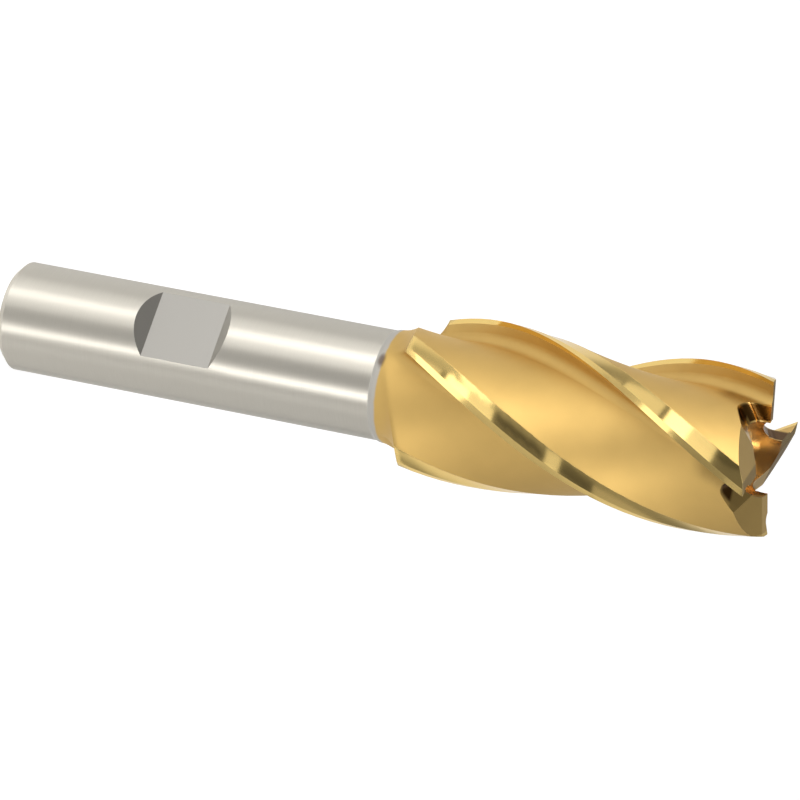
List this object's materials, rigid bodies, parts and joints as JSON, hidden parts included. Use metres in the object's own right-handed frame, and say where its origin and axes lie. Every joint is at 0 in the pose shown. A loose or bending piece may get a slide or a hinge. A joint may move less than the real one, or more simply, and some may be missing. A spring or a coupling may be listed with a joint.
{
  "type": "square end mill",
  "caption": "Square end mill: helical flutes ground on a coated cutting head, gashed end teeth round a centre hole, and a plain steel shank with a screw flat.",
  "frame": {"origin": "centre of the shank's rear face", "axes": "+Z along the tool axis from the shank to the cutting end, -Y out of the clamping flat"},
  "size_m": [0.019, 0.019, 0.0921],
  "materials": {
    "end_mill": "ground, gold nitride coating on the head"
  },
  "bodies": {
    "root": {"end_mill": "end_mill"}
  },
  "joints": []
}
